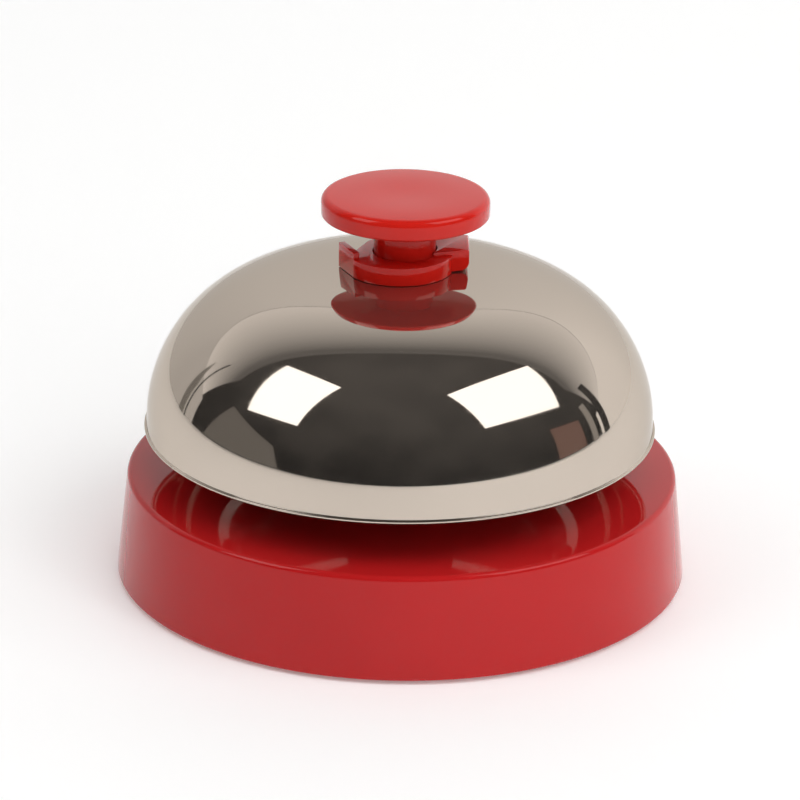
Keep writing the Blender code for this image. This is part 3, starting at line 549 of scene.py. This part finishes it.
disc_plan = [
    *round_plan(disc_radius, *disc_arc, 96, disc_shift),
    *round_plan(disc_back_radius, *disc_back_arc, 40),
    disc_side,
]
collar = slab("quarter_turn_collar", disc_plan, disc_low, disc_top)
ear = slab("ear", ear_plan, disc_low - overlap, ear_top)
root_low, tip_low = (wing_root, wing_low), (wing_tip, wing_low)
root_top, tip_top = (wing_root, wing_top), (wing_tip, wing_top)
wing_line = [
    root_low,
    *corner_arc(root_low, tip_low, tip_top, wing_under_round, 8),
    *corner_arc(tip_low, tip_top, root_top, wing_top_round, 4),
    root_top,
]
wing = slab("wing", wing_line, wing_back, wing_front)
wing.data.transform(Matrix.Rotation(math.radians(90.0), 4, "X"))
for vertex in wing.data.vertices:
    if vertex.co.y < 0.0:
        vertex.co.y += wing_slant * (vertex.co.x - wing_slant_from)
sleeve = slab("sleeve", full_circle(sleeve_radius, 72), low.z, disc_low + 0.0003)
lug_plan = [
    (-lug_reach, -lug_half_width),
    (lug_reach, -lug_half_width),
    (lug_reach, lug_half_width),
    (-lug_reach, lug_half_width),
]
lugs = slab("lugs", lug_plan, low.z - overlap, low.z + lug_height)
bore = slab("bore", full_circle(bore_radius, 96), low.z - 0.001, bore_top)
combine(collar, "UNION", ear, wing, sleeve, lugs)
combine(collar, "DIFFERENCE", bore)
soften = collar.modifiers.new("soften", "BEVEL")
soften.width = collar_edge
soften.segments = 3
soften.limit_method = "ANGLE"
soften.angle_limit = math.radians(30.0)
collar_mesh = worked_out(collar)
bpy.data.objects.remove(collar)
collar = shown("quarter_turn_collar", collar_mesh, crease=50.0)
button_red = polished_red_material("button_red", (0.59, 0.0135, 0.0080), (0.63, 0.0155, 0.0095))
settle(collar, button_red, "lock_collar", "red_plastic", "lock_collar")

# ---------------------------------------------------------------- return spring
# A coil wound from hard-drawn steel wire, round the rod and under the button's hub. It pushes the
# button back up, but here it is built at one length and does not shorten as the button goes down.


def spring_material():
    material, tree, shader = finish("drawn_wire", (0.44, 0.43, 0.42), 0.28, 1.0)
    draw = speckle(tree, 3200, 3.0)
    tint(tree, shader, draw, (0.36, 0.35, 0.34), (0.50, 0.49, 0.48))
    roughen(tree, shader, draw, 0.22, 0.38)
    return material


low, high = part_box("return_spring")
wire = 0.00025
turns, per_turn = 8, 40
coil_radius = (high.x - low.x) / 2 - wire
coil_curve = bpy.data.curves.new("coil", "CURVE")
coil_curve.dimensions = "3D"
coil_curve.bevel_depth = wire
coil_curve.bevel_resolution = 3
coil_curve.use_fill_caps = True
spline = coil_curve.splines.new("POLY")
spline.points.add(turns * per_turn)
for i, point in enumerate(spline.points):
    share = i / (turns * per_turn)
    angle = 2 * math.pi * i / per_turn
    climb = low.z + wire + (high.z - low.z - 2 * wire) * share
    point.co = (coil_radius * math.cos(angle), coil_radius * math.sin(angle), climb, 1.0)
coil = bpy.data.objects.new("coil", coil_curve)
bpy.context.scene.collection.objects.link(coil)
coil_mesh = worked_out(coil)
bpy.data.objects.remove(coil)
spring = shown("wound_spring", coil_mesh)
settle(spring, spring_material(), "base", "spring_steel", "return_spring")
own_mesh(spring)

# ---------------------------------------------------------------- rod and clip
# A ground steel rod, pressed into the button's hub, with a spring-steel snap ring in the groove
# near its foot. The ring stops the spring from pushing the button out.

rod = moulded("ground_rod", "plunger_rod", edge=0.00005)
settle(rod, turned_steel, "button", "zinc_steel", "plunger_rod")
clip = moulded("snap_ring", "rod_clip", edge=0.00005)
settle(clip, spring_material(), "plunger", "spring_steel", "rod_clip")

# ---------------------------------------------------------------- button
# The push button and its hub, one red moulding, polished like the drum. The thick middle has
# shrunk a little as it cooled, which leaves a faint round hollow over the hub.

low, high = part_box("push_button")
cap_radius = (high.x - low.x) / 2
cap_under = high.z - 0.00235
cap_top_edge, cap_under_edge, hub_edge = 0.0008, 0.00028, 0.0002
hub_radius = 0.0035
rod_hole, rod_hole_top = 0.0012, low.z + 0.006
hollow_radius, hollow_depth, hollow_steps = hub_radius * 1.4, 0.00006, 8
hollow_z = high.z - 0.00002
cap_line = rounded_line(
    [
        (hollow_radius, hollow_z, 0.0),
        (cap_radius, high.z, cap_top_edge),
        (cap_radius, cap_under, cap_under_edge),
        (hub_radius, cap_under, 0.0),
        (hub_radius, low.z, hub_edge),
        (rod_hole, low.z, 0.0),
        (rod_hole, rod_hole_top, 0.0),
        (0.0, rod_hole_top, 0.0),
    ]
)
sink = []
for i in range(hollow_steps):
    share = i / hollow_steps
    drop = hollow_depth * (0.5 + 0.5 * math.cos(math.pi * share))
    sink.append((hollow_radius * share, hollow_z - drop))
button = turned("push_button_cap", [*sink, *cap_line], around=192)
settle(button, button_red, "button", "red_plastic", "push_button")

# ---------------------------------------------------------------- studio
# A pale table with a white sweep and a canopy behind it, a square lamp to each side, two wide
# fills that leave no highlight, and a dim room whose few pale screens only the polished pieces
# mirror. Plain white backdrops round the table close the view from every side.


def glowing(name, colour, strength):
    """A material that only gives off light."""
    material = bpy.data.materials.new(name)
    material.use_nodes = True
    tree = material.node_tree
    tree.nodes.clear()
    glow = tree.nodes.new("ShaderNodeEmission")
    glow.inputs["Color"].default_value = (*colour, 1.0)
    glow.inputs["Strength"].default_value = strength
    out = tree.nodes.new("ShaderNodeOutputMaterial")
    tree.links.new(glow.outputs[0], out.inputs["Surface"])
    return material


def card(name, corners, material):
    """A flat studio piece between these corners."""
    mesh = bpy.data.meshes.new(name)
    mesh.from_pydata([Vector(c) for c in corners], [], [tuple(range(len(corners)))])
    mesh.materials.append(material)
    piece = bpy.data.objects.new(name, mesh)
    bpy.context.scene.collection.objects.link(piece)
    return piece


def fade(piece, axis, first, last, start, end):
    """Changes a glowing card's strength from first to last between two places along an axis."""
    tree = piece.data.materials[0].node_tree
    place = tree.nodes.new("ShaderNodeSeparateXYZ")
    tree.links.new(piece_points(tree), place.inputs[0])
    strength = between(tree, place.outputs[axis], first, last, start, end)
    tree.links.new(strength, tree.nodes["Emission"].inputs["Strength"])


white, soft_white = (1.0, 1.0, 1.0), (1.0, 0.99, 0.975)
table_material, _, table_shader = finish("white_table", (0.90, 0.90, 0.90), 0.6)
table_shader.inputs["Emission Color"].default_value = (*white, 1.0)
table_shader.inputs["Emission Strength"].default_value = 0.19
table_corners = [(-2.2, -1.6, 0.0), (2.8, -1.6, 0.0), (2.8, 0.62, 0.0), (-2.2, 0.62, 0.0)]
card("table", table_corners, table_material)

sweep_corners = [(-2.1, 0.6, 0.0), (2.8, 0.6, 0.0), (2.8, 0.6, 0.497), (-2.1, 0.6, 0.497)]
sweep = card("sweep", sweep_corners, glowing("sweep_white", soft_white, 1.0))
fade(sweep, "X", first=0.60, last=1.0, start=-0.75, end=0.65)
sweep.visible_camera = False

canopy_corners = [(-1.9, 0.6, 0.500), (2.3, 0.6, 0.500), (1.7, 0.24, 1.05), (-1.5, 0.24, 1.05)]
canopy = card("canopy", canopy_corners, glowing("canopy_white", soft_white, 1.0))
fade(canopy, "Z", first=0.88, last=0.14, start=0.50, end=0.98)
canopy.visible_camera = False

backdrop_height = 2.6
for number, start in enumerate(table_corners):
    end = table_corners[(number + 1) % len(table_corners)]
    raised = [(x, y, backdrop_height) for x, y, _ in (end, start)]
    backdrop_material = glowing(f"backdrop_white_{number}", white, 1.0)
    backdrop = card(f"backdrop_{number}", [start, end, *raised], backdrop_material)
    backdrop.visible_glossy = False
    backdrop.visible_diffuse = False
    backdrop.visible_shadow = False

warm, pale, rosy = (1.0, 0.97, 0.92), (1.0, 0.97, 0.94), (1.0, 0.60, 0.50)
screens = [
    (
        "left_screen",
        [(-1.40, 0.16, 0.02), (-1.30, -0.95, 0.02), (-1.30, -0.80, 0.38), (-1.40, -0.05, 0.60)],
        warm,
        0.17,
    ),
    (
        "left_stand",
        [(-1.05, 0.44, 0.0), (-1.05, 0.42, 0.0), (-1.05, 0.42, 0.95), (-1.05, 0.44, 0.95)],
        pale,
        0.02,
    ),
    (
        "left_boom",
        [(-1.02, 0.54, 0.0), (-1.02, 0.45, 0.0), (-1.02, 0.45, 0.30), (-1.02, 0.54, 0.62)],
        warm,
        0.22,
    ),
    (
        "right_screen",
        [(1.50, -0.42, 0.02), (1.55, 0.02, 0.02), (1.55, 0.02, 0.42), (1.50, -0.42, 0.55)],
        rosy,
        0.20,
    ),
    (
        "right_stand",
        [(1.15, 0.27, 0.0), (1.15, 0.36, 0.0), (1.15, 0.36, 0.60), (1.15, 0.27, 0.60)],
        pale,
        0.02,
    ),
    (
        "right_panel",
        [(1.30, 0.12, 0.0), (1.30, 0.20, 0.0), (1.30, 0.20, 0.48), (1.30, 0.12, 0.48)],
        warm,
        0.34,
    ),
]
for name, corners, colour, strength in screens:
    screen = card(name, corners, glowing(name + "_face", colour, strength))
    screen.visible_camera = False
    screen.visible_diffuse = False
    screen.visible_shadow = False

bell_middle = Vector((0.0, 0.0, 0.03))


def soft_lamp(name, way, distance, width, height, roll, power):
    """A rectangular lamp this way and far from the bell, facing it and rolled by some degrees."""
    light = bpy.data.lights.new(name, "AREA")
    light.shape = "RECTANGLE"
    light.size = width
    light.size_y = height
    light.energy = power
    lamp = bpy.data.objects.new(name, light)
    lamp.location = bell_middle + Vector(way).normalized() * distance
    facing = (bell_middle - lamp.location).to_track_quat("-Z", "Y").to_matrix().to_4x4()
    rolled = Matrix.Rotation(math.radians(roll), 4, "Z")
    lamp.matrix_world = Matrix.Translation(lamp.location) @ facing @ rolled
    bpy.context.scene.collection.objects.link(lamp)
    return lamp


soft_lamp(
    "left_lamp", way=(-0.665, -0.225, 0.712), distance=1.0,
    width=0.473, height=0.624, roll=14.4, power=2.05,
)
soft_lamp(
    "right_lamp", way=(0.648, -0.224, 0.728), distance=1.0,
    width=0.699, height=0.553, roll=-15.0, power=2.6,
)
fill = soft_lamp(
    "front_fill", way=(0.45, -0.76, 0.58), distance=1.3,
    width=0.9, height=1.3, roll=0.0, power=8.8,
)
fill.visible_glossy = False
overhead = soft_lamp(
    "overhead_fill", way=(0.05, -0.10, 1.0), distance=1.2,
    width=1.2, height=1.0, roll=0.0, power=3.6,
)
overhead.visible_glossy = False

world = bpy.data.worlds.new("dim_room")
world.use_nodes = True
tree = world.node_tree
room = tree.nodes["Background"]
way = tree.nodes.new("ShaderNodeTexCoord")
height = tree.nodes.new("ShaderNodeSeparateXYZ")
tree.links.new(way.outputs["Generated"], height.inputs[0])
patches = tree.nodes.new("ShaderNodeTexNoise")
patches.inputs["Scale"].default_value = 2.2
patches.inputs["Detail"].default_value = 3.0
tree.links.new(way.outputs["Generated"], patches.inputs["Vector"])
ceiling = between(tree, height.outputs["Z"], low=0.004, high=0.06, start=0.15, end=0.98)
lit_patches = between(tree, patches.outputs["Fac"], low=0.0, high=0.02, start=0.42, end=0.62)
tree.links.new(added(tree, ceiling, lit_patches), room.inputs["Strength"])
room.inputs["Color"].default_value = (*pale, 1.0)
bpy.context.scene.world = world
bpy.context.scene.view_settings.view_transform = "Standard"

camera_data = bpy.data.cameras.new("camera")
camera_data.lens = 196.4
camera_data.sensor_width = 36.0
camera_data.clip_start = 0.01
camera_data.clip_end = 20.0
camera = bpy.data.objects.new("camera", camera_data)
bpy.context.scene.collection.objects.link(camera)
camera_place = (-0.0003, -0.460, 0.203)
camera_tilt = math.radians(90.0) - 0.378
camera_roll = 0.015
camera.matrix_world = (
    Matrix.Translation(camera_place)
    @ Matrix.Rotation(camera_tilt, 4, "X")
    @ Matrix.Rotation(camera_roll, 4, "Z")
)
bpy.context.scene.camera = camera
